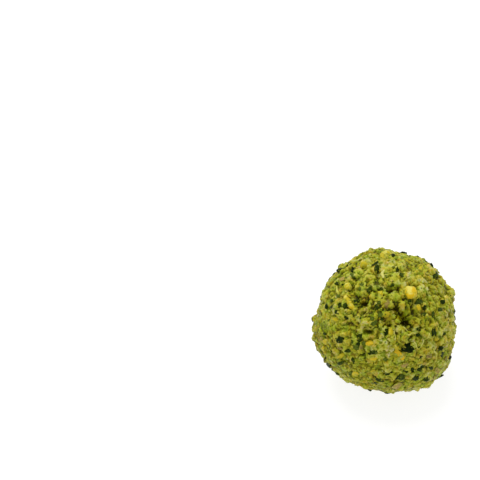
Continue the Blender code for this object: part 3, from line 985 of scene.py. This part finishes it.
def link(name, points, faces, attributes, look, smooth=True):
    """Makes a piece of the ball, with a number for each point under each attribute's name."""
    material, slot = look
    standing = points + BALL_MIDDLE
    standing[:, 2] = np.maximum(standing[:, 2], 0.0)
    mesh = bpy.data.meshes.new(name)
    mesh.from_pydata(standing, [], faces)
    for key, values in attributes.items():
        mesh.attributes.new(key, "FLOAT", "POINT").data.foreach_set("value", values)
    if smooth:
        mesh.shade_smooth()
    mesh.materials.append(material)
    piece = bpy.data.objects.new(name, mesh)
    bpy.context.scene.collection.objects.link(piece)
    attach(piece, "root")
    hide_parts(NODE)


# Crumbs of the mass: how many, and in millimetres how far apart, how clear of kernels, how deep a hollow
# they may lie in, how long, how far out, then how broken and how light
MASS_CRUMBS = (
    (620, 1.6, 1.2, 0.55, (2.0, 4.2), (-0.35, 0.40), LARGE_CRUMB, (0.28, 0.76)),
    (1100, 1.1, 1.0, 0.55, (1.2, 2.2), (-0.40, 0.25), LARGE_CRUMB, (0.26, 0.80)),
    (2400, 0.6, 0.8, math.inf, (0.6, 1.2), (-0.50, 0.00), SMALL_CRUMB, (0.26, 0.80)),
)
MASS_SLIMNESS = (0.60, 0.95)
MASS_FLATNESS = (0.50, 0.85)
MASS_CRUMB_SUNK = 0.4
NAMED_THICKNESS = 0.75
NAMED_RISE = 0.25 * MM
NAMED_SUNK = 0.3
NAMED_TONES = (0.58, 0.92)

# The grid that the mass is drawn on, and the wander and the grain that make its crumbs ragged
GRID_SUBDIVISIONS = 6
GRID_CUTS = 2
RAGGED = 0.42 * MM
RAGGED_SIZE = 0.80 * MM
MASS_GRAIN = 0.12 * MM
GRAIN_SIZE = 0.7 * MM

# Between the crumbs: how deep it lies, how its height and its tone vary, and how much painted shade
# darkens it where it is torn
SUNK = 0.75 * MM
GAP_RELIEF = 0.3 * MM
RELIEF_SIZE = 1.3 * MM
GAP_TONE = 0.45
GAP_MOTTLE = 0.4
MOTTLE_SIZE = 0.9 * MM
MOTTLE_SHIFT = (9.0, 1.0, 4.0)
TORN_GAP_SHADE = 0.3

# How far the mass stands out and how deep its gaps go, where it is pressed and where it is torn
PRESSED_RISE = 0.17 * MM
PRESSED_GAP = 0.40 * MM
TORN_RISE = 0.26 * MM
TORN_GAP = 0.75 * MM

# Painted shade in hollows that are told from the points round them: rounds of evening, depth in full,
# weight. Tops may go below 0 by the next share of the depth in full, which is painted light there
WIDE_HOLLOW_SHADE = (16, 0.40 * MM, 0.7)
FINE_HOLLOW_SHADE = (3, 0.12 * MM, 0.4)
TOP_LIGHT_SHARE = -0.4
TONE_SHARED = 0.6
TONE_ROUNDS = 8


def random_sizes(lengths, slimness, flatness, count, draw):
    """Half the length, width and thickness of each crumb."""
    length = draw.uniform(*in_metres(lengths), count)
    width = length * draw.uniform(*slimness, count)
    thick = length * draw.uniform(*flatness, count)
    return np.stack((length, width, thick), axis=1) / 2


def crumb_mesh(rays, lengths, rises, broken, tones, draw):
    """Uneven crumbs set into the surface: points, triangles and a tone for each triangle."""
    shapes, faces = broken_shapes(*broken, draw)
    radius, _ = surface(rays)
    count = len(rays)
    half = random_sizes(lengths, MASS_SLIMNESS, MASS_FLATNESS, count, draw)
    sunk = MASS_CRUMB_SUNK * (2 * half[:, 2])
    middles = rays * (radius + draw.uniform(*in_metres(rises), count) - sunk)[:, None]
    picks = draw.integers(0, len(shapes), count)
    points, triangles = placed(shapes, faces, picks, random_turns(count, draw), half, middles)
    return points, triangles, np.repeat(draw.uniform(*tones, count), len(faces))


def named_crumb_mesh(bits, draw):
    """The large pale crumbs that have their own place on the shown side."""
    shapes, faces = broken_shapes(*NAMED_CRUMB, draw)
    radius, _ = surface(bits.rays)
    thick = bits.widths * NAMED_THICKNESS
    half = np.stack((bits.lengths, bits.widths, thick), axis=1) / 2
    middles = bits.rays * (radius + NAMED_RISE - NAMED_SUNK * thick)[:, None]
    picks = draw.integers(0, len(shapes), len(half))
    turns = turns_along(bits.rays, bits.axes)
    points, triangles = placed(shapes, faces, picks, turns, half, middles)
    return points, triangles, np.repeat(draw.uniform(*NAMED_TONES, len(half)), len(faces))


def joined(parts):
    """Several meshes of points, triangles and tones as one."""
    starts = np.cumsum([0] + [len(part[0]) for part in parts[:-1]])
    points = np.concatenate([part[0] for part in parts])
    triangles = np.concatenate([part[1] + start for part, start in zip(parts, starts)])
    return points, triangles, np.concatenate([part[2] for part in parts])


def mass_crumbs(kernels, draw):
    """All the crumbs of the mass, kept off the kernels, and the large ones out of the hollows."""
    scatters = [scattered(*row[:2], draw) for row in MASS_CRUMBS]
    parts = []
    for places, (_, _, clear, deepest, *numbers) in zip(scatters, MASS_CRUMBS):
        shallow = hollow_depth(places, HOLLOWS + PITS) < deepest * MM
        parts.append(crumb_mesh(places[clear_of(places, kernels, clear) & shallow], *numbers, draw))
    parts.append(named_crumb_mesh(shown_bits(CRUMBS), draw))
    return joined(parts)


def evened(values, edges, rounds):
    """Values shared out with their neighbours' again and again."""
    first, second = edges.T
    count = len(values)
    neighbours = np.bincount(edges.ravel(), minlength=count)
    for _ in range(rounds):
        total = np.bincount(first, values[second], count) + np.bincount(second, values[first], count)
        values = total / neighbours
    return values


def painted_hollow_shade(distance, edges, rounds, scale, weight):
    """Painted shade by how far each point lies below those round it: up to the weight, and a little below
    0 on tops, which is painted light there.
    """
    return weight * np.clip((evened(distance, edges, rounds) - distance) / scale, TOP_LIGHT_SHARE, 1)


def ragged(rays):
    """Rays that wander a little, which gives round crumbs a ragged edge."""
    places = rays * (BALL_RADIUS / RAGGED_SIZE)
    wander = [grain_at(places, 3, (17.0 * axis, 3.0, 8.0)) for axis in range(3)]
    return unit(rays + np.stack(wander, axis=1) * (RAGGED / BALL_RADIUS))


def make_mass(kernels, draw, look):
    """The crumb mass: lumps, crumbs and grains grown together into one torn skin."""
    points, triangles, tones = mass_crumbs(kernels, draw)
    tree = BVHTree.FromPolygons(points.tolist(), triangles.tolist())
    rays, faces, edges = icosphere(GRID_SUBDIVISIONS, GRID_CUTS)
    radius, share = surface(rays)
    torn = torn_share(rays)
    rise = share * (PRESSED_RISE + (TORN_RISE - PRESSED_RISE) * torn)
    gap = share * (PRESSED_GAP + (TORN_GAP - PRESSED_GAP) * torn)
    height = -2 * SUNK + GAP_RELIEF * noise_at(rays * BALL_RADIUS / RELIEF_SIZE)
    mottle = noise_at(rays * BALL_RADIUS / MOTTLE_SIZE, MOTTLE_SHIFT)
    # The gap floor is made darker where it is torn deep: painted shade
    tone = GAP_TONE + GAP_MOTTLE * mottle - TORN_GAP_SHADE * torn
    start = BALL_RADIUS + 10 * MM
    for i, ray in enumerate(ragged(rays).tolist()):
        out = Vector(ray)
        _, _, hit, far = tree.ray_cast(out * start, -out)
        if hit is not None and start - far > radius[i] + height[i]:
            height[i] = start - far - radius[i]
            tone[i] = tones[hit]
    above = rise * (1 - np.exp(-np.clip(height, 0, None) / rise))
    below = gap * (1 - np.exp(np.clip(height, None, 0) / SUNK))
    grain = MASS_GRAIN * grain_at(rays * BALL_RADIUS / GRAIN_SIZE, 3)
    distance = radius + above - below + grain - hollow_depth(rays, PITS)
    # Painted shade in the clefts and a little painted light on the tops, from how far each point lies
    # below those round it
    hollow_shade = painted_hollow_shade(distance, edges, *WIDE_HOLLOW_SHADE) + painted_hollow_shade(distance, edges, *FINE_HOLLOW_SHADE)
    tone = (1 - TONE_SHARED) * tone + TONE_SHARED * evened(tone, edges, TONE_ROUNDS)
    # Adds the paste's own patches and the painted light and shade of the shown side
    tone = np.clip(tone + tone_and_painted_light_at(rays), 0, 1)
    places = rays * distance[:, None]
    link("crumb_mass", places, faces, {"tone": tone, "hollow_shade": hollow_shade}, look)
    return Ground(places, faces)


# The pieces that lie on the mass

# Loose crumbs: how many, how far apart and how long in millimetres, and how broken
LOOSE_CRUMBS = (220, 1.5, (0.7, 1.4), LOOSE_CRUMB)
GRIT = (600, 0.5, (0.3, 0.6), GRIT_CRUMB)
LOOSE_SLIMNESS = (0.55, 0.95)
LOOSE_FLATNESS = (0.45, 0.80)
LOOSE_SUNK = (0.15, 0.45)
PRESSED_SUNK = 0.35
LOOSE_TONES = (0.3, 0.9)
LOOSE_CLEAR = 0.75
# Loose crumbs stand out, so they get a little painted light, as tops do
LOOSE_HOLLOW_SHADE = -0.1

CHUNK_THICKNESS = (0.6, 0.8)
CHUNK_SUNK = 0.12


def make_crumbs(name, count, spacing, lengths, broken, keep_off, ground, draw, look):
    """Loose crumbs of one size range that cling to the mass."""
    rays = scattered(count, spacing, draw)
    rays = rays[clear_of(rays, keep_off, LOOSE_CLEAR)]
    count = len(rays)
    shapes, faces = broken_shapes(*broken, draw)
    half = random_sizes(lengths, LOOSE_SLIMNESS, LOOSE_FLATNESS, count, draw)
    pressed = PRESSED_SUNK * (1 - relief_share(rays))
    sunk = 2 * half[:, 2] * (draw.uniform(*LOOSE_SUNK, count) + pressed)
    middles = rays * (ground.radius(rays) - sunk)[:, None]
    picks = draw.integers(0, len(shapes), count)
    points, triangles = placed(shapes, faces, picks, random_turns(count, draw), half, middles)
    # Adds the paste's own patches and the painted light and shade of the shown side
    tones = np.clip(draw.uniform(*LOOSE_TONES, count) + tone_and_painted_light_at(rays), 0, 1)
    attributes = {
        "tone": np.repeat(tones, shapes.shape[1]),
        "hollow_shade": np.full(len(points), LOOSE_HOLLOW_SHADE),
    }
    link(name, points, triangles, attributes, look, smooth=broken is not GRIT_CRUMB)


def make_chunks(name, bits, tones, broken, ground, draw, look):
    """Thick bits, sunk to about their waist."""
    shapes, faces = broken_shapes(*broken, draw)
    count = len(bits.lengths)
    thick = bits.widths * draw.uniform(*CHUNK_THICKNESS, count)
    half = np.stack((bits.lengths, bits.widths, thick), axis=1) / 2
    middles = bits.rays * (ground.radius(bits.rays) - CHUNK_SUNK * thick)[:, None]
    picks = draw.integers(0, len(shapes), count)
    points, triangles = placed(shapes, faces, picks, ground.turns(bits), half, middles)
    attributes = {
        "tone": np.repeat(tones, shapes.shape[1]),
        "edge": 1 - np.clip(shapes[picks, :, 2].ravel(), 0, 1),
    }
    link(name, points, triangles, attributes, look)


# Kinds of flake: corners, loops within the edge, thickness, lift and how closely it follows the ground
SCALE_FLAKE = (8, (0.55,), 0.12 * MM, 0.16 * MM, 0.7)
LEAF_FLAKE = (11, (0.4, 0.75), 0.14 * MM, 0.22 * MM, 0.8)
SPECK_FLAKE = (7, (), 0.12 * MM, 0.14 * MM, 0.8)
SKIN_FLAKE = (13, (0.4, 0.75), 0.14 * MM, 0.20 * MM, 0.7)

# How uneven the corners of a flake are, how far out they reach, and what share of its lift it gets
CORNER_SWAY = 0.32
CORNER_REACH = (0.62, 1.12)
LIFT_SHARE = (0.3, 1.0)


def flake_points(bits, flake, ground, draw):
    """Torn flakes laid over the ground: for each, its chain of loops from top to underside."""
    corners, rings, thickness, lift, drape = flake
    count = len(bits.lengths)
    sway = draw.uniform(-CORNER_SWAY, CORNER_SWAY, (count, corners))
    angle = (np.arange(corners) + sway) * (math.tau / corners)
    reach = draw.uniform(*CORNER_REACH, (count, corners))
    along = np.cos(angle) * reach * bits.lengths[:, None] / 2
    beside = np.sin(angle) * reach * bits.widths[:, None] / 2
    shares = (*rings, 1.0, *reversed(rings))
    sides = (*(1.0 for _ in rings), 0.0, *(-1.0 for _ in rings))
    turns = ground.turns(bits)
    middles = ground.places(bits)[:, None, :]
    chain = [(middles, 1.0)]
    for share, side in zip(shares, sides):
        flat = turns[:, None, :, 0] * (along * share)[:, :, None]
        flat = flat + turns[:, None, :, 1] * (beside * share)[:, :, None]
        chain.append((middles + flat, side * (1 - share**2)))
    chain.append((middles, -1.0))
    points = np.concatenate([loop for loop, _ in chain], axis=1)
    height = np.concatenate([np.full(loop.shape[1], rise) for loop, rise in chain])
    rays, distance = ground.draped(points, drape)
    lifted = lift * draw.uniform(*LIFT_SHARE, count)[:, None]
    return rays * (distance + lifted + height * thickness / 2)[:, :, None]


def make_flakes(name, bits, flake, ground, draw, look, lighter=0.0):
    """Thin torn flakes, closed all round, as one piece."""
    tones = draw.uniform(0, 1, len(bits.lengths)) + lighter
    points = flake_points(bits, flake, ground, draw)
    corners, rings = flake[:2]
    faces = chain_faces(2 * len(rings) + 1, corners)
    upper = np.repeat((*rings, 1.0), corners)
    edge = np.concatenate(((0.0,), upper, np.ones(points.shape[1] - 1 - len(upper))))
    attributes = {
        "tone": np.repeat(tones, points.shape[1]),
        "edge": np.tile(edge, len(points)),
    }
    triangles = repeated(faces, len(points), points.shape[1])
    link(name, points.reshape(-1, 3), triangles, attributes, look)


# Fibres: how they bend and wave as shares of their length, how closely they follow the ground, and how
# flat and how thin towards their ends they are
FIBRE_SIDES = 6
FIBRE_STATIONS = 9
FIBRE_BEND = 0.22
BEND_MIDDLE = 0.08
FIBRE_WAVE = 0.05
FIBRE_WAVES = (6, 12)
FIBRE_DRAPE = 0.5
FIBRE_LIFT = 0.25
FIBRE_TAPER = 0.7
FIBRE_FLATNESS = 0.6


def make_fibres(bits, ground, draw, look):
    """Thin plant strands that lie over the crumbs, thinner at both ends."""
    steps = np.linspace(-0.5, 0.5, FIBRE_STATIONS)
    turns = ground.turns(bits)
    aside = turns[:, None, :, 1]
    count = len(bits.lengths)
    lengths = bits.lengths[:, None]
    widths = bits.widths[:, None]
    bend = draw.normal(0, FIBRE_BEND, count)[:, None] * (steps**2 - BEND_MIDDLE)
    phase = steps * draw.uniform(*FIBRE_WAVES, count)[:, None]
    wave = FIBRE_WAVE * np.sin(phase + draw.uniform(0, math.tau, count)[:, None])
    along = turns[:, None, :, 0] * (steps * lengths)[:, :, None]
    path = ground.places(bits)[:, None, :] + along + aside * ((bend + wave) * lengths)[:, :, None]
    rays, distance = ground.draped(path, FIBRE_DRAPE)
    path = rays * (distance + FIBRE_LIFT * widths)[:, :, None]
    thick = widths / 2 * (1 - (2 * np.abs(steps)) ** 4 * FIBRE_TAPER)
    angle = -np.arange(FIBRE_SIDES) * math.tau / FIBRE_SIDES
    out = turns[:, None, :, 2] * (FIBRE_FLATNESS * np.sin(angle))[:, None]
    ring = aside * np.cos(angle)[:, None] + out
    loops = path[:, :, None, :] + ring[:, None, :, :] * thick[:, :, None, None]
    points = np.concatenate((path[:, :1], loops.reshape(count, -1, 3), path[:, -1:]), axis=1)
    triangles = repeated(chain_faces(FIBRE_STATIONS, FIBRE_SIDES), count, points.shape[1])
    tone = np.repeat(draw.uniform(0, 1, count), points.shape[1])
    link("fibres", points.reshape(-1, 3), triangles, {"tone": tone}, look)


# How much longer and wider a bit is than what shows of it
HIDDEN_EDGE = 0.3 * MM
HIDDEN_LEAF_EDGE = 0.5 * MM
STRAND_EXTRA = 0.03 * MM

# Leaves this near the outline are crumpled and stand out from it
CRUMPLED_FACING = 0.42

# Leaves below this length are lighter, as they are when worn
SMALL_LEAF = 2.4 * MM
SMALL_LEAF_LIGHTER = 0.35
MORE_GOLDEN = (0.1, 0.9)


def make_ball():
    """All the pieces of the ball, from the crumb mass out to the smallest specks."""
    draws = [np.random.default_rng(FIRST_SEED + kind) for kind in range(10)]
    named = [shown_bits(rows) for rows in (KERNELS, LEAVES, SKINS, FIBRES)]
    more = (MORE_KERNELS, MORE_LEAVES, MORE_SKINS, MORE_FIBRES)
    kernels, leaves, skins, fibres = [
        bits.joined(spread_bits(*numbers, draws[0], bits.rays)) for bits, numbers in zip(named, more)
    ]
    specks = spread_bits(*LEAF_SPECKS, draws[0], leaves.rays, ANYWHERE)

    crumb = (crumb_material(), "crumb")
    leaf = (leaf_material(), "leaf")
    ground = make_mass(kernels, draws[1], crumb)
    keep_off = kernels.joined(leaves).joined(skins)
    make_crumbs("crumbs", *LOOSE_CRUMBS, keep_off, ground, draws[2], crumb)
    make_crumbs("grit", *GRIT, keep_off, ground, draws[3], crumb)
    scales = spread_bits(*CRUMB_SCALES, draws[4], limit=ANYWHERE)
    scales = scales.kept(clear_of(scales.rays, keep_off, 1.0))
    make_flakes("crumb_scales", scales, SCALE_FLAKE, ground, draws[4], crumb)

    golden = [row[5] for row in KERNELS]
    golden = np.append(golden, draws[5].uniform(*MORE_GOLDEN, len(kernels.lengths) - len(golden)))
    kernels = kernels.grown(HIDDEN_EDGE)
    make_chunks("kernels", kernels, golden, KERNEL_CHUNK, ground, draws[5], (kernel_material(), "kernel"))
    leaves = leaves.grown(HIDDEN_LEAF_EDGE)
    crumpled = np.abs(leaves.rays @ TO_VIEWER) < CRUMPLED_FACING
    wads = leaves.kept(crumpled)
    tones = draws[6].uniform(0, 1, len(wads.lengths))
    make_chunks("crumpled_leaves", wads, tones, LEAF_WAD, ground, draws[6], leaf)
    leaves = leaves.kept(~crumpled)
    lighter = SMALL_LEAF_LIGHTER * (leaves.lengths < SMALL_LEAF)
    make_flakes("leaves", leaves, LEAF_FLAKE, ground, draws[6], leaf, lighter)
    make_flakes("leaf_specks", specks, SPECK_FLAKE, ground, draws[7], leaf, SMALL_LEAF_LIGHTER)
    make_flakes("skins", skins, SKIN_FLAKE, ground, draws[8], (skin_material(), "skin"))
    make_fibres(fibres.grown(STRAND_EXTRA), ground, draws[9], (fibre_material(), "crumb"))


# The stage

WHITE = (1, 1, 1, 1)
FLOOR_SIDE = 4.0
FLOOR_SKIN = {"Base Color": (0.25, 0.25, 0.25, 1), "Roughness": 0.9, "Specular IOR Level": 0.0}
FLOOR_GLOW = {"Emission Color": WHITE, "Emission Strength": 0.85}
LAMP_PLACE = (-0.10, 0.25, 0.75)
LAMP_SIZE = 0.6
LAMP_WATTS = 5.1

# Between which heights the light round the ball fades, and how bright it is below and above
FADE = {"From Min": 0.25, "From Max": 0.60, "To Min": 1.0, "To Max": 0.45}


def make_stage():
    """A plain pale floor and the light round it."""
    bpy.ops.mesh.primitive_plane_add(size=FLOOR_SIDE)
    floor = bpy.context.object
    floor.name = "floor"
    paint = bpy.data.materials.new("floor")
    paint.use_nodes = True
    set_inputs(paint.node_tree.nodes["Principled BSDF"], {**FLOOR_SKIN, **FLOOR_GLOW})
    floor.data.materials.append(paint)
    make_surroundings()
    make_lamp()


def make_surroundings():
    """White round the horizon and dimmer overhead, from where the lamp shines."""
    world = bpy.data.worlds.new("studio")
    world.use_nodes = True
    nodes = world.node_tree.nodes
    parts = nodes.new("ShaderNodeSeparateXYZ")
    set_inputs(parts, {"Vector": nodes.new("ShaderNodeTexCoord").outputs["Generated"]})
    fade = nodes.new("ShaderNodeMapRange")
    set_inputs(fade, {"Value": parts.outputs["Z"], **FADE})
    set_inputs(nodes["Background"], {"Color": WHITE, "Strength": fade.outputs["Result"]})
    bpy.context.scene.world = world


def make_lamp():
    """A round lamp overhead, turned to the ball."""
    light = bpy.data.lights.new("overhead", "AREA")
    light.shape = "DISK"
    light.size = LAMP_SIZE
    light.energy = LAMP_WATTS
    lamp = bpy.data.objects.new("overhead", light)
    lamp.location = LAMP_PLACE
    lamp.rotation_mode = "QUATERNION"
    away = Vector(LAMP_PLACE) - Vector(BALL_MIDDLE)
    lamp.rotation_quaternion = away.to_track_quat("Z", "Y")
    bpy.context.scene.collection.objects.link(lamp)


def make_camera():
    """Sees the shown side straight on, with the ball low on the right as in the photograph."""
    camera = bpy.data.cameras.new("camera")
    camera.lens = LENS_MM
    camera.sensor_width = SENSOR_MM
    seen = bpy.data.objects.new("camera", camera)
    bpy.context.scene.collection.objects.link(seen)
    per_pixel = SENSOR_MM / PICTURE_SIDE / LENS_MM
    across = (BALL_PIXEL[0] - PICTURE_SIDE / 2) * per_pixel
    down = (BALL_PIXEL[1] - PICTURE_SIDE / 2) * per_pixel
    to_ball = Vector((across, -down, -1.0))
    straight = Matrix((TO_RIGHT, TO_UP, TO_VIEWER)).transposed().to_quaternion()
    swing = (straight @ to_ball).rotation_difference(-Vector(TO_VIEWER))
    seen.rotation_mode = "QUATERNION"
    seen.rotation_quaternion = swing @ straight
    seen.location = Vector(BALL_MIDDLE + TO_VIEWER * VIEW_DISTANCE)
    bpy.context.scene.camera = seen


make_camera()
make_stage()
make_ball()

bpy.context.scene.view_settings.view_transform = "Standard"
